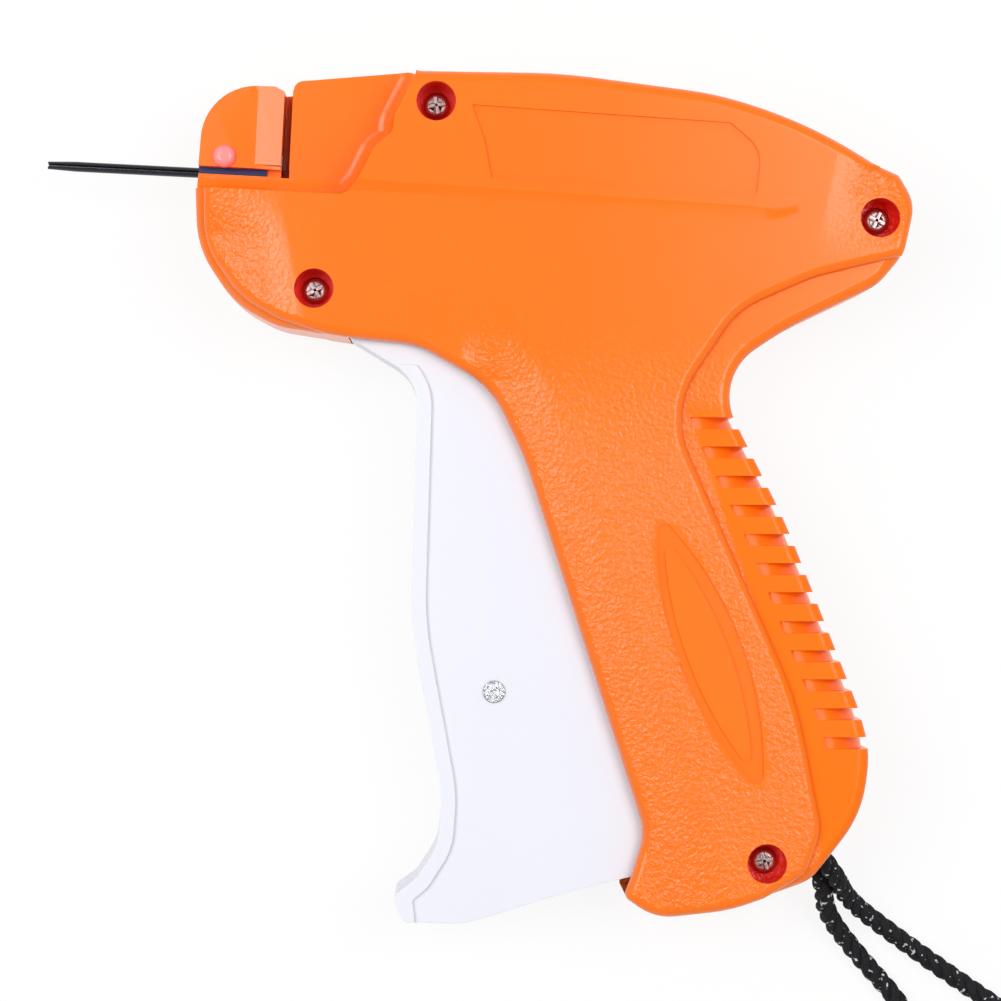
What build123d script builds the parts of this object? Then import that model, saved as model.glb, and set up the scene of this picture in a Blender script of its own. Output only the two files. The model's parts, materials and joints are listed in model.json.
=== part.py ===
from build123d import *
import math
import os

# Garment tag attacher, in millimetres. The tool lies on its right side: +X runs back along the
# barrel, +Y is its top and +Z its left side. The origin is on the trigger's pivot axis, in the
# plane that the tool lies on.

os.makedirs("parts", exist_ok=True)

# ---------------------------------------------------------------- driving sizes
body_thickness = 25.0  # from the right side face to the left side panel
raised_panel_height = 1.0  # the upper panel stands this far off the left side panel
side_wall = 2.6  # the side panels
rim_wall = 2.2  # the walls round the edge
shell_round = 2.0  # the outer edge of each shell
panel_round = 1.7  # the edge of a side panel
raised_round = 2.0  # the outer edge of the raised panel
raised_slope = 2.0  # width of the slope up to it
groove_count = 12
groove_width = 2.0
groove_length = 22.0
groove_depth = 0.7
groove_back_depth = 0.25  # where the grooves run out over the grip's back
groove_tilt = 2.9
groove_bulge = 1.4
first_groove = (48.2, -26.5)
last_groove = (72.8, -78.8)
shell_drop = 1.8  # the shell lies this far below its side panel
grip_round_width = 7.2  # how far the grip's back rolls over

nose_level = 17.5  # height of the nose block's face
nose_floor = 16.0  # height of the floor of the recess behind it
nose_block_y = 13.0  # lower side of the nose block
nose_ramp = 0.8  # how far the nose block's face falls towards the fastener slot
scoop_round = 3.0  # where the recess runs up to the raised panel
plate_recess_depth = 0.5
oval_groove_depth = 0.4

barrel_y = 12.2  # height of the needle's line over the trigger's pivot
needle_radius = 0.85
needle_bore_radius = 0.6
needle_tip_x = -61.4
needle_rear_x = -22.6
needle_slot_width = 0.5
needle_tip_radius = 0.65
needle_taper = 4.6

hub_front_x = -35.6
hub_length = 11.6
hub_height = 4.4
hub_depth = 5.2
hub_edge = 0.6

slot_x = -20.95  # centre of the fastener slot
slot_width = 1.4
slot_reach = 3.5  # how far the slot goes into each shell

screw_places = [(4.1, 24.9), (-14.7, -7.2), (79.0, 9.3), (65.6, -99.2)]
well_radius = 3.3
well_depth = 7.4
well_wall = 1.4
screw_seat = body_thickness - well_depth
thread_hold = 0.02  # a screw's thread in its boss
screw_radius = 1.3
screw_length = 12.0
screw_head_radius = 2.3
screw_head_height = 1.8
screw_boss_radius = 3.2

trigger_squeeze = 14.0  # degrees
trigger_width = 18.0
trigger_flange_width = 19.6
trigger_flange_depth = 2.4
trigger_wall = 2.0
trigger_hub_radius = 5.5
trigger_pin_radius = 2.0
rivet_x = 18.74
rivet_y = -73.0
rivet_radius = 1.5
rivet_head_radius = 1.9
rivet_head_height = 0.3

lever_x = 56.0
lever_y = -53.0
lever_thickness = 5.0
lever_width = 7.0
lever_eye_wall = 1.5  # round the slot at the lever's top
lever_hub_width = 6.0
lever_hub_radius = 4.5
lever_pin_radius = 1.5
lever_boss_radius = 3.0
lever_foot_x = 51.42  # the link pin on the lever
lever_foot_y = -80.06
link_pin_radius = 1.5
link_pin_play = 0.7
link_thickness = 1.6
link_gap = 0.4
link_width = 6.0

slider_rest_x = 66.0
slider_stroke = 40.0
slider_length = 17.0
slider_nose = 11.0  # how far it reaches in front of its pin
slider_height = 10.0
slider_width = 13.0
slider_pin_radius = 1.5
rod_radius = 0.5
rod_rear_radius = 1.0
rod_seat = 4.0  # how far the rod goes into the slider
rod_tip_x = -16.5
rod_thin_length = 37.5
guide_x = 4.0
guide_length = 5.0
guide_height = 9.0
spring_radius = 3.0
spring_wire_radius = 0.35
spring_turns = 10

feed_x = -16.8
feed_y = 4.0
feed_teeth = 12
feed_tip_radius = 4.4
feed_root_radius = 3.2
feed_width = 3.0
tooth_angle = 18.0
feed_shaft_radius = 1.0
feed_shaft_reach = 6.0
rocker_hub_radius = 2.4
rocker_arm = 5.6
rocker_thickness = 1.4
rocker_pin_radius = 0.55
rocker_angle = 18.0
rocker_swing = -30.0  # degrees as the trigger is squeezed

lock_x = -31.2
lock_y = 14.75
lock_shaft_radius = 1.4
lock_head_radius = 1.9
lock_head_height = 1.3
lock_shaft_low = 0.5
lock_lever_low = 0.3
lock_lever_width = 4.6
lock_lever_length = 10.0
lock_lever_thickness = 2.0
lock_recess_depth = 2.6

click_thickness = 0.4
click_reach = 0.9  # half its width

blade_thickness = 0.4
blade_height = 2.6
blade_depth = 3.2
blade_y = 14.4

strap_radius = 1.7
strap_spacing = 4.0
anchor_x = 72.9
anchor_y = -95.2
anchor_angle = -55.0
strand_angles = [-63.4, -48.1]  # the way each strand leaves the grip, the lower first
anchor_length = 4.2
anchor_width = 5.2
anchor_height = 9.2
anchor_seat_wall = 1.2
anchor_seat_back = 1.3  # how far its seat lies back from the heel

running_gap = 0.05  # a pin in its bore
moving_gap = 0.3  # faces that pass each other
seat_gap = 0.02  # a piece held still


# ---------------------------------------------------------------- levels
mid_z = body_thickness / 2
left_level = body_thickness - mid_z
right_level = mid_z
top_level = left_level + raised_panel_height
cavity_depth = left_level - side_wall
shell_level = left_level - shell_drop
parting = Plane.XY.offset(mid_z)
nose_rise = nose_level - mid_z
floor_rise = nose_floor - mid_z
trigger_low = mid_z - trigger_width / 2

# ---------------------------------------------------------------- outlines
# each corner is x, y and the radius that rounds it

nose_front = [(-35.6, 10.0, 3), (-34.7, -1.2, 16), (-28.0, -10.2, 14), (-20.9, -13.7, 14)]
front_edge = [(-8.9, -15.0, 0), (3.0, -15.6, 14), (15.6, -22.0, 16), (21.85, -33.7, 40), (45.1, -95.1, 9)]
toe = [(43.2, -102.6, 0), (42.1, -106.0, 1.2), (47.5, -109.4, 9)]
heel = [(60.0, -107.4, 30), (73.4, -101.8, 8), (81.4, -90.3, 20), (82.2, -79.9, 18)]
grip_back = [(80.1, -73.1, 50), (66.1, -42.2, 110), (52.8, -18.6, 9.6)]
tail_under = [(64.5, -9.8, 50), (79.5, -1.7, 9)]
tail_end = [(83.4, 3.5, 7), (84.8, 12.1, 6.5), (81.9, 16.6, 1.5)]
top_edge = [(77.3, 18.4, 12), (66.2, 24.7, 80), (50.4, 28.65, 60), (24.8, 30.75, 90)]
nose_top = [(1.0, 29.95, 2), (-0.8, 30.6, 2), (-19.9, 28.1, 1.6)]
nose_top += [(-20.2, 26.5, 0.2), (-21.7, 26.3, 0.3), (-23.2, 27.0, 1.0)]
nose_corner = [(-35.1, 26.6, 9.4)]
body_corners = (
    nose_front + front_edge + toe + heel + grip_back + tail_under + tail_end + top_edge + nose_top + nose_corner
)

# the side panel ends at this line, and at the edge of the tool where the line runs outside it
panel_nose = [(-34.3, 14.0, 0), (-33.5, -0.7, 14), (-27.2, -9.2, 14), (-20.4, -12.6, 12), (-6.0, -16.2, 0)]
panel_grip = [(-6.0, -125.0, 0), (52.0, -114.0, 0), (72.2, -100.7, 3.5), (74.6, -93.4, 8), (69.3, -71.8, 60)]
panel_tail = [(45.7, -24.6, 15), (56.3, -7.2, 14), (68.5, -1.1, 25), (95.0, 6.8, 0)]
panel_corners = panel_nose + panel_grip + panel_tail + [(95.0, 45.0, 0), (15.0, 45.0, 0)]

scoop_edge = [(0.9, 34.0, 0), (0.4, 29.0, 0), (-2.7, 22.3, 3), (-2.9, 19.4, 1.5), (-5.9, 16.6, 2), (-8.3, 11.2, 8)]
recess_corners = scoop_edge + [(-10.4, 8.7, 2.4), (-45.0, 8.7, 0), (-45.0, 34.0, 0)]

raised_foot = [(-12.0, 9.0, 0), (0.2, 8.7, 0), (54.1, 7.6, 30), (63.2, 7.5, 14), (74.0, 13.0, 25), (82.0, 21.4, 0)]
raised_corners = raised_foot + [(82.0, 40.0, 0), (-12.0, 40.0, 0)]

plate_corners = [
    (10.0, 24.6, 0.3),
    (12.4, 18.9, 12),
    (13.9, 12.5, 0.4),
    (58.1, 11.4, 1.2),
    (58.6, 19.6, 5),
    (53.2, 23.75, 0.6),
]

cavity_nose = [(-33.2, 6.4, 1), (-32.4, -1.5, 12), (-26.4, -8.8, 12), (-20.1, -11.8, 12), (-8.6, -12.9, 0.5)]
cavity_mouth = [(-8.6, -26.0, 0), (16.0, -42.0, 0), (34.0, -105.4, 0)]
cavity_heel = [(47.0, -105.9, 3), (59.4, -105.2, 28), (72.0, -100.0, 6), (79.2, -89.5, 18), (80.0, -80.2, 15)]
cavity_back = [(77.9, -74.1, 60), (63.9, -43.3, 107), (50.0, -17.9, 11.8)]
cavity_tail = [(63.5, -7.7, 50), (78.4, 0.6, 6.8), (81.5, 4.6, 5), (82.8, 12.0, 4), (80.2, 15.4, 1.5)]
cavity_top = [(76.5, 16.9, 10), (65.6, 22.9, 78), (49.9, 26.7, 58), (24.8, 28.8, 88), (2.6, 28.0, 0.5)]
cavity_scoop = [(2.0, 26.5, 2), (-0.4, 22.3, 2), (-0.7, 18.4, 1.5), (-3.9, 15.6, 2), (-6.2, 10.6, 3), (-7.0, 6.4, 2)]
cavity_corners = cavity_nose + cavity_mouth + cavity_heel + cavity_back + cavity_tail + cavity_top + cavity_scoop

runner_path = [(slot_x, 14.0, 0), (slot_x, -0.6, 3.5), (-9.3, -2.65, 3), (-9.3, -9.0, 0)]

trigger_front = [(-8.4, -15.0, 0), (3.4, -21.4, 8), (4.2, -62.0, 60), (10.9, -90.5, 24), (10.7, -99.0, 9)]
trigger_toe = [(7.3, -104.9, 5), (3.6, -107.9, 1.2), (5.3, -112.3, 1.8), (15.8, -112.1, 14), (33.0, -105.8, 40)]
trigger_rear = [(46.6, -101.8, 1.0), (48.2, -95.5, 9), (25.2, -34.4, 40), (18.4, -20.6, 16), (7.5, -9.0, 4)]
trigger_top = [(5.5, 0.0, 0), (-5.5, 0.0, 0)]
trigger_corners = trigger_front + trigger_toe + trigger_rear + trigger_top
trigger_edge = [(-14.3, -11.8, 0)] + trigger_front[1:] + [(7.3, -104.9, 5), (4.2, -107.6, 3), (5.4, -114.5, 0)]

core_pocket = [(-18.4, 14.6, 1), (-8.5, 14.6, 4), (-4.6, 19.5, 2), (-2.4, 22.8, 2), (-1.8, 27.2, 1), (-17.6, 25.9, 1)]
lever_bend = [(48.8, -31.0, 25), (49.4, -10.0, 25)]
lever_way = [(56.6, 6.0, 0), (60.9, 11.8, 0), (63.0, 11.8, 0), (63.0, 6.0, 0)]
click_line = [(-8.8, 10.1, 0), (-15.2, 10.1, 1), (-17.15, 7.75, 0)]

strap_route = [
    (72.9, -95.2, 14.5),
    (78.2, -101.1, 14.5),
    (81.3, -106.2, 5.5),
    (89.5, -111.9, 1.75),
    (103.0, -120.5, 1.7),
    (121.0, -131.0, 1.7),
    (141.0, -147.0, 1.7),
    (146.0, -166.0, 1.7),
    (133.0, -176.5, 1.7),
    (116.0, -168.0, 1.7),
    (105.0, -146.0, 1.7),
    (94.0, -126.0, 1.7),
    (83.0, -115.0, 1.75),
    (77.6, -108.3, 5.0),
    (76.9, -103.2, 10.5),
    (72.9, -95.2, 10.5),
]


def outline_face(corners):
    """A face through corners that are x, y and radius."""
    with BuildSketch() as drawing:
        with BuildLine():
            FilletPolyline([(x, y) for x, y, _ in corners], radius=[r for _, _, r in corners], close=True)
        make_face()
    return drawing.sketch


def bar_face(corners, width):
    """A bar of one width along corners that are x, y and radius."""
    with BuildSketch() as drawing:
        with BuildLine():
            FilletPolyline([(x, y) for x, y, _ in corners], radius=[r for _, _, r in corners[1:-1]])
        trace(line_width=width)
    return drawing.sketch


def pointed_oval(half_length, half_width, tip_round):
    """An oval of two arcs, its long axis along X."""
    with BuildSketch() as drawing:
        with BuildLine():
            ThreePointArc((-half_length, 0), (0, half_width), (half_length, 0))
            ThreePointArc((half_length, 0), (0, -half_width), (-half_length, 0))
        make_face()
        fillet(drawing.vertices(), radius=tip_round)
    return drawing.sketch


def barrel_plane(x_start, level=mid_z):
    """The plane across the needle's line at x_start, looking back along it."""
    return Plane(origin=(x_start, barrel_y, level), x_dir=(0, 1, 0), z_dir=(1, 0, 0))


def back_rolls_over(width, height, outward=8.0):
    """All that lies outside the rounded back of a shell, along tail and grip."""
    corners = [(95.0, 6.7, 0), tail_under[0]] + grip_back[::-1] + [heel[3], heel[2], (64.6, -114.7, 0)]
    with BuildPart() as roll:
        with BuildLine() as route:
            FilletPolyline([(x, y) for x, y, _ in corners], radius=[r for _, _, r in corners[1:-1]])
        start = Plane(origin=route.line @ 0, x_dir=(0, 0, 1), z_dir=route.line % 0)
        with BuildSketch(start):
            with BuildLine():
                EllipticalCenterArc((0, grip_round_width), height, width, start_angle=270, arc_size=90)
                Polyline(
                    (height, grip_round_width),
                    (height + outward, grip_round_width),
                    (height + outward, -outward),
                    (0, -outward),
                    (0, grip_round_width - width),
                )
            make_face()
        sweep(path=route.line)
    return roll.part


def pin(name, x, y, low, high, radius):
    """A round pin along Z, with its ends chamfered."""
    with BuildPart() as piece:
        with BuildSketch(Plane.XY.offset(low)):
            with Locations((x, y)):
                Circle(radius)
        extrude(amount=high - low)
        chamfer(piece.edges(), length=0.15)
    piece.part.label = name
    return piece.part


# ---------------------------------------------------------------- what both shells share
# the left shell as it stands on the parting plane, here lowered to z = 0

outer_roll = back_rolls_over(grip_round_width, shell_level)
groove_roll = back_rolls_over(grip_round_width - groove_back_depth, shell_level - groove_depth)
inner_roll = back_rolls_over(grip_round_width - rim_wall, cavity_depth - 0.6)

with BuildPart() as grooves:
    for row in range(groove_count):
        share = row / (groove_count - 1)
        groove_x = first_groove[0] + share * (last_groove[0] - first_groove[0])
        groove_y = first_groove[1] + share * (last_groove[1] - first_groove[1])
        groove_x += groove_bulge * 4 * share * (1 - share)
        with BuildSketch(Plane.XY):
            with Locations((groove_x, groove_y)):
                with Locations(Rotation(0, 0, groove_tilt)):
                    with Locations((groove_length / 2, 0)):
                        SlotOverall(groove_length, groove_width)
        extrude(amount=shell_level)
    add(groove_roll, mode=Mode.INTERSECT)

with BuildPart() as shell:
    add(outline_face(body_corners))
    extrude(amount=shell_level)
    rounded = shell.faces().sort_by(Axis.Z)[-1].outer_wire().edges()
    fillet(rounded.filter_by(lambda edge: edge.center().X > -19.0 or edge.center().Y < 8), radius=shell_round)
    add(outer_roll, mode=Mode.SUBTRACT)
    add(grooves.part, mode=Mode.SUBTRACT)

with BuildPart() as side_panel:
    with BuildSketch(Plane.XY):
        add(outline_face(body_corners))
        add(outline_face(panel_corners), mode=Mode.INTERSECT)
    extrude(amount=left_level)
    rounded = side_panel.faces().sort_by(Axis.Z)[-1].outer_wire().edges()
    fillet(rounded.filter_by(lambda edge: edge.center().Y < 10 or edge.center().X > -8), radius=panel_round)

with BuildPart() as cavity:
    add(outline_face(cavity_corners))
    extrude(amount=cavity_depth)
    add(inner_roll, mode=Mode.SUBTRACT)

with BuildPart() as well_bosses:
    with BuildSketch(Plane.XY):
        with Locations(*screw_places):
            Circle(well_radius + well_wall)
    extrude(amount=left_level - 1.0)

with BuildPart() as inner_bosses:
    with BuildSketch(Plane.XY.offset(trigger_width / 2 + moving_gap)):
        Circle(trigger_pin_radius + 2.0)
    extrude(amount=cavity_depth - trigger_width / 2)
    with BuildSketch(Plane.XY.offset(lever_hub_width / 2 + moving_gap)):
        with Locations((lever_x, lever_y)):
            Circle(lever_boss_radius)
    extrude(amount=cavity_depth - lever_hub_width / 2)
    with BuildSketch(Plane.XY):
        with Locations((guide_x, barrel_y)):
            Rectangle(guide_length + 4.0, guide_height + 4.0)
    extrude(amount=cavity_depth + 0.5)
    rail_y = slider_height / 2 + moving_gap
    with BuildSketch(Plane.XY.offset(lever_thickness / 2 + 1.0)):
        with Locations((44.5, barrel_y + rail_y + 0.75), (44.5, barrel_y - rail_y - 0.75)):
            Rectangle(58.0, 1.5)
    extrude(amount=cavity_depth - lever_thickness / 2 - 0.5)
    add(bar_face(runner_path[1:], slot_width + 1.8))
    extrude(amount=cavity_depth + 0.5)
    with BuildSketch(Plane.XY):
        with Locations((feed_x, feed_y)):
            Circle(feed_shaft_radius + 1.55)
    extrude(amount=cavity_depth + 0.5)
    with BuildSketch(Plane.XY):
        with Locations((anchor_x, anchor_y)):
            with Locations(Rotation(0, 0, anchor_angle)):
                with Locations((-anchor_seat_back, 0)):
                    Rectangle(anchor_length + 2 * anchor_seat_wall, anchor_width + anchor_seat_wall)
    extrude(amount=anchor_height / 2 + anchor_seat_wall)

with BuildPart() as inner_rooms:
    with BuildSketch(barrel_plane(needle_rear_x - 40.0, 0)):
        Circle(needle_radius + seat_gap)
    extrude(amount=40.0)
    with BuildSketch(barrel_plane(needle_rear_x - 1.0, 0)):
        Circle(rod_rear_radius + 0.15)
    extrude(amount=60.0)
    with BuildSketch(Plane.XY):
        with Locations((hub_front_x + hub_length / 2, barrel_y)):
            Rectangle(hub_length + 2 * seat_gap, hub_height + 2 * seat_gap)
    extrude(amount=hub_depth / 2 + seat_gap, both=True)
    with BuildSketch(Plane.XY):
        with Locations((slot_x, barrel_y + 1.4)):
            Rectangle(slot_width, 4.0)
        with Locations((slot_x, 24.0)):
            Rectangle(slot_width, 20.0)
    extrude(amount=slot_reach, both=True)
    add(bar_face(runner_path, slot_width))
    extrude(amount=slot_reach / 2, both=True)
    with BuildSketch(Plane.XY):
        with Locations((feed_x, feed_y)):
            Circle(feed_tip_radius + moving_gap)
    extrude(amount=feed_width / 2 + 0.3, both=True)
    with BuildSketch(Plane.XY):
        with Locations((feed_x, feed_y)):
            with PolarLocations(rocker_arm, 3, start_angle=rocker_angle + rocker_swing, angular_range=81.0):
                Circle(1.9)
        make_hull()
    extrude(amount=feed_width / 2 + 0.3, both=True)
    with BuildSketch(Plane.XY):
        with Locations((guide_x, barrel_y)):
            Rectangle(guide_length + 2 * seat_gap, guide_height + 2 * seat_gap)
    extrude(amount=guide_height / 2 + seat_gap, both=True)
    with BuildSketch(barrel_plane(guide_x + guide_length / 2, 0)):
        Circle(spring_radius + spring_wire_radius + moving_gap)
    extrude(amount=5.0)
    with BuildSketch(Plane.XY):
        with Locations((slot_x - slot_width / 2 - blade_thickness / 2 + 0.06, blade_y)):
            Rectangle(blade_thickness + 2 * seat_gap, blade_height + 2 * seat_gap)
    extrude(amount=blade_depth / 2 + seat_gap, both=True)
    with BuildSketch(Plane.XY):
        with Locations((anchor_x, anchor_y)):
            with Locations(Rotation(0, 0, anchor_angle)):
                Rectangle(anchor_length + 2 * seat_gap, anchor_width + 2 * seat_gap)
    extrude(amount=anchor_height / 2 + seat_gap, both=True)
    with BuildSketch(Plane.XY):
        with Locations((anchor_x, anchor_y)):
            for strand_angle in strand_angles:
                with Locations(Rotation(0, 0, strand_angle)):
                    with Locations((8.0, 0)):
                        Rectangle(14.0, 2 * strap_radius + 0.6)
    extrude(amount=strap_spacing / 2 + strap_radius + 0.3, both=True)
    # the click spring's seat, and the room its free end bends in
    with BuildSketch(Plane.XY):
        add(bar_face(click_line, click_thickness + 2 * seat_gap))
    extrude(amount=click_reach + seat_gap, both=True)
    with BuildSketch(Plane.XY):
        with Locations((-14.5, 9.8)):
            Rectangle(6.0, 1.6)
    extrude(amount=click_reach + moving_gap, both=True)

with BuildPart() as pin_bores:
    with BuildSketch(Plane.XY):
        Circle(trigger_pin_radius + seat_gap)
        with Locations((lever_x, lever_y)):
            Circle(lever_pin_radius + seat_gap)
    extrude(amount=cavity_depth + 1.3, both=True)
    with BuildSketch(Plane.XY):
        with Locations((feed_x, feed_y)):
            Circle(feed_shaft_radius + seat_gap)
    extrude(amount=feed_shaft_reach, both=True)
    with BuildSketch(Plane.XY):
        with Locations((lock_x, lock_y)):
            Circle(lock_shaft_radius + running_gap)
    extrude(amount=right_level + 1.0, both=True)


def raised(part):
    return Pos(0, 0, mid_z) * part


# ---------------------------------------------------------------- left housing
with BuildPart() as raised_panel:
    with BuildSketch(Plane.XY):
        add(outline_face(body_corners))
        add(outline_face(panel_corners), mode=Mode.INTERSECT)
    extrude(amount=top_level)
    rounded = raised_panel.faces().sort_by(Axis.Z)[-1].outer_wire().edges()
    fillet(rounded.filter_by(lambda edge: edge.center().Y < 10 or edge.center().X > -8), radius=raised_round)

with BuildPart() as raised_region:
    with BuildSketch(Plane.XY.offset(left_level - 0.5)):
        add(outline_face(raised_corners))
    extrude(amount=raised_panel_height + 0.5)
    slope = raised_region.faces().sort_by(Axis.Z)[-1].edges().filter_by(
        lambda edge: edge.center().Y < 18.5 and 0.0 < edge.center().X < 92.0)
    chamfer(slope, length=raised_slope * 1.2, length2=raised_panel_height + 0.2,
            reference=raised_region.faces().sort_by(Axis.Z)[-1])
    add(raised_panel.part, mode=Mode.INTERSECT)

with BuildPart() as nose_block:
    with BuildSketch(Plane.XZ.offset(-40.0)):
        with BuildLine():
            Polyline(
                (-45.0, 0),
                (-45.0, nose_rise),
                (-26.5, nose_rise),
                (slot_x - slot_width / 2, nose_rise - nose_ramp),
                (slot_x - slot_width / 2, 0),
                close=True,
            )
        make_face()
    extrude(amount=40.0 - nose_block_y)

with BuildPart() as nose_recess:
    with BuildSketch(Plane.XY.offset(floor_rise)):
        add(outline_face(recess_corners))
    extrude(amount=20.0)
    foot = nose_recess.faces().sort_by(Axis.Z)[0].edges()
    fillet(foot.filter_by(lambda edge: edge.center().X > -44 and edge.center().Y < 33), radius=scoop_round)
    add(nose_block.part, mode=Mode.SUBTRACT)

with BuildPart() as oval_ring:
    with BuildSketch(Plane.XY.offset(left_level - oval_groove_depth)):
        with Locations((54.4, -64.7)):
            with Locations(Rotation(0, 0, -66.7)):
                add(pointed_oval(24.9, 5.45, 1.2))
    extrude(amount=oval_groove_depth + 0.3)
    with BuildSketch(Plane.XY.offset(left_level - oval_groove_depth - 0.1)):
        with Locations((54.0, -64.75)):
            with Locations(Rotation(0, 0, -66.7)):
                add(pointed_oval(21.0, 3.5, 0.9))
    extrude(amount=oval_groove_depth + 0.6, mode=Mode.SUBTRACT)

with BuildPart() as left_housing:
    add(shell.part)
    add(side_panel.part)
    add(raised_region.part)
    add(nose_recess.part, mode=Mode.SUBTRACT)
    add(cavity.part, mode=Mode.SUBTRACT)
    add(well_bosses.part)
    add(inner_bosses.part)
    add(inner_rooms.part, mode=Mode.SUBTRACT)
    add(pin_bores.part, mode=Mode.SUBTRACT)
    with BuildSketch(Plane.XY.offset(screw_seat - mid_z)):
        with Locations(*screw_places):
            Circle(well_radius)
    extrude(amount=20.0, mode=Mode.SUBTRACT)
    with BuildSketch(Plane.XY):
        with Locations(*screw_places):
            Circle(screw_radius + 0.2)
    extrude(amount=20.0, mode=Mode.SUBTRACT)
    # the window over the needle's hub
    with BuildSketch(Plane.XY.offset(hub_depth / 2 - 0.5)):
        with Locations((-29.0, nose_block_y - 0.6)):
            Rectangle(17.7, 1.2)
    extrude(amount=4.0, mode=Mode.SUBTRACT)
    # the sunk plate and the ring on the grip
    with BuildSketch(Plane.XY.offset(top_level - plate_recess_depth)):
        add(outline_face(plate_corners))
    extrude(amount=4.0, mode=Mode.SUBTRACT)
    add(oval_ring.part, mode=Mode.SUBTRACT)
left_part = raised(left_housing.part)
left_part.label = "left_housing"
export_step(left_part, "parts/left_housing.step")

# ---------------------------------------------------------------- right housing
with BuildSketch() as quarter_disc:
    with BuildLine():
        Line((0, 0), (lock_lever_length + 1.2, 0))
        CenterArc((0, 0), lock_lever_length + 1.2, 0, 90)
        Line((0, lock_lever_length + 1.2), (0, 0))
    make_face()

with BuildPart() as right_housing:
    add(shell.part)
    add(side_panel.part)
    add(cavity.part, mode=Mode.SUBTRACT)
    with BuildSketch(Plane.XY):
        add(outline_face(core_pocket))
    extrude(amount=cavity_depth, mode=Mode.SUBTRACT)
    with BuildSketch(Plane.XY):
        with Locations(*screw_places):
            Circle(screw_boss_radius)
    extrude(amount=cavity_depth + 0.5)
    add(inner_bosses.part)
    add(inner_rooms.part, mode=Mode.SUBTRACT)
    add(pin_bores.part, mode=Mode.SUBTRACT)
    with BuildSketch(Plane.XY.offset(-1.0)):
        with Locations(*screw_places):
            Circle(screw_radius + thread_hold)
    extrude(amount=screw_length - (screw_seat - mid_z) + 1.5, mode=Mode.SUBTRACT)
    with BuildSketch(Plane.XY.offset(-0.5)):
        with Locations((feed_x, feed_y)):
            with PolarLocations(rocker_arm, 2, start_angle=rocker_angle + rocker_swing, angular_range=-2 * rocker_swing):
                Circle(rocker_pin_radius + 0.9)
            Circle(rocker_hub_radius + moving_gap)
        make_hull()
    extrude(amount=feed_width / 2 + 2 * moving_gap + rocker_thickness + 0.5, mode=Mode.SUBTRACT)
    # the recess that the needle lock's lever turns in
    with BuildSketch(Plane.XY.offset(right_level - lock_recess_depth)):
        with Locations((lock_x, lock_y)):
            Circle(lock_lever_width / 2 + 1.0)
            add(quarter_disc.sketch)
            with Locations(((lock_lever_length + 1.2) / 2, -1.5)):
                Rectangle(lock_lever_length + 1.2, 5.0)
            with Locations((-1.5, (lock_lever_length + 1.2) / 2)):
                Rectangle(5.0, lock_lever_length + 1.2)
    extrude(amount=4.0, mode=Mode.SUBTRACT)
right_part = raised(mirror(right_housing.part, about=Plane.XY))
right_part.label = "right_housing"
export_step(right_part, "parts/right_housing.step")

# ---------------------------------------------------------------- screws
with BuildPart() as one_screw:
    with BuildSketch(Plane.XY):
        Circle(screw_head_radius)
    extrude(amount=screw_head_height)
    fillet(one_screw.edges().sort_by(Axis.Z)[-1], radius=0.9)
    with BuildSketch(Plane.XY.offset(screw_head_height - 1.1)):
        Rectangle(2.6, 0.55)
        Rectangle(0.55, 2.6)
    extrude(amount=2.0, mode=Mode.SUBTRACT)
    with BuildSketch(Plane.XY):
        Circle(screw_radius)
    extrude(amount=-screw_length)
    chamfer(one_screw.edges().sort_by(Axis.Z)[0], length=0.5)

with BuildPart() as housing_screws:
    for number, (x, y) in enumerate(screw_places):
        add(Pos(x, y, screw_seat) * Rot(0, 0, 20 + 35 * number) * one_screw.part)
housing_screws.part.label = "housing_screws"
export_step(housing_screws.part, "parts/housing_screws.step")

# ---------------------------------------------------------------- trigger
with BuildPart() as trigger_room:
    with BuildSketch(Plane.XY.offset(mid_z - trigger_width / 2 + trigger_wall)):
        add(outline_face(trigger_corners))
        add(bar_face(trigger_edge, 2 * trigger_flange_depth), mode=Mode.SUBTRACT)
        with BuildLine():
            Polyline((60, -95.2), (20.0, -107.6), (-10.0, -116.9), (-10, -130), (60, -130), close=True)
        make_face(mode=Mode.SUBTRACT)
    extrude(amount=trigger_width - 2 * trigger_wall)

with BuildPart() as trigger:
    with BuildSketch(Plane.XY.offset(mid_z - trigger_width / 2)):
        add(outline_face(trigger_corners))
    extrude(amount=trigger_width)
    with BuildSketch(Plane.XY.offset(mid_z - trigger_flange_width / 2)):
        add(bar_face(trigger_edge, 2 * trigger_flange_depth))
        add(outline_face(trigger_corners), mode=Mode.INTERSECT)
        with Locations((0, -8.0)):
            Rectangle(40.0, 22.0, mode=Mode.SUBTRACT)
    extrude(amount=trigger_flange_width)
    add(trigger_room.part, mode=Mode.SUBTRACT)
    with BuildSketch(Plane.XY.offset(mid_z - trigger_width / 2)):
        Circle(trigger_hub_radius)
    extrude(amount=trigger_width)
    with BuildSketch(Plane.XY.offset(mid_z - trigger_width / 2)):
        with Locations((rivet_x, rivet_y)):
            Circle(rivet_radius + 1.6)
    extrude(amount=trigger_wall + link_gap)
    with BuildSketch(Plane.XY.offset(mid_z + trigger_width / 2)):
        with Locations((rivet_x, rivet_y)):
            Circle(rivet_radius + 1.6)
    extrude(amount=-trigger_wall - link_gap)
    with BuildSketch(Plane.XY):
        Circle(trigger_pin_radius + running_gap)
        with Locations((rivet_x, rivet_y)):
            Circle(rivet_radius + seat_gap)
    extrude(amount=30.0, mode=Mode.SUBTRACT)
trigger.part.label = "trigger"
export_step(trigger.part, "parts/trigger.step")

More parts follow.
